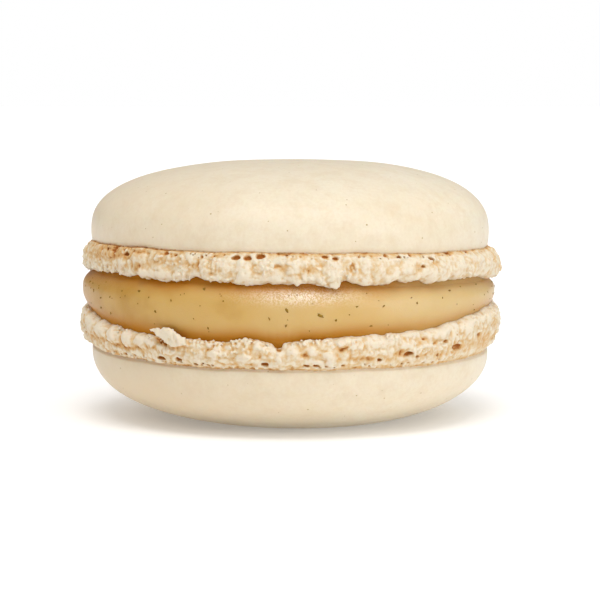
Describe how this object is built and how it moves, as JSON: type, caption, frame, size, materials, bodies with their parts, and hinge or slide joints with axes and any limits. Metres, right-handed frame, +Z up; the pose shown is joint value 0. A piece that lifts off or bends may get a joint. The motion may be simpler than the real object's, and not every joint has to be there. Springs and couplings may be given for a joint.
{
  "type": "french macaron",
  "caption": "Vanilla French macaron: smooth domed almond shells with craggy feet, held together by a thick layer of speckled vanilla cream.",
  "frame": {"origin": "where the axis of the shells meets the ground, on the plane of the flat spot under the bottom shell", "axes": "+Z up through both shells, -Y towards the front, where the cream is thickest, +X to the right"},
  "size_m": [0.045, 0.0449, 0.0272],
  "materials": {
    "shell": "baked almond meringue, pale cream, matt with a faint satin sheen",
    "cream": "soft vanilla cream with dark vanilla specks, slightly glossy"
  },
  "bodies": {
    "root": {"top_shell": "shell", "filling": "cream", "bottom_shell": "shell"}
  },
  "joints": []
}
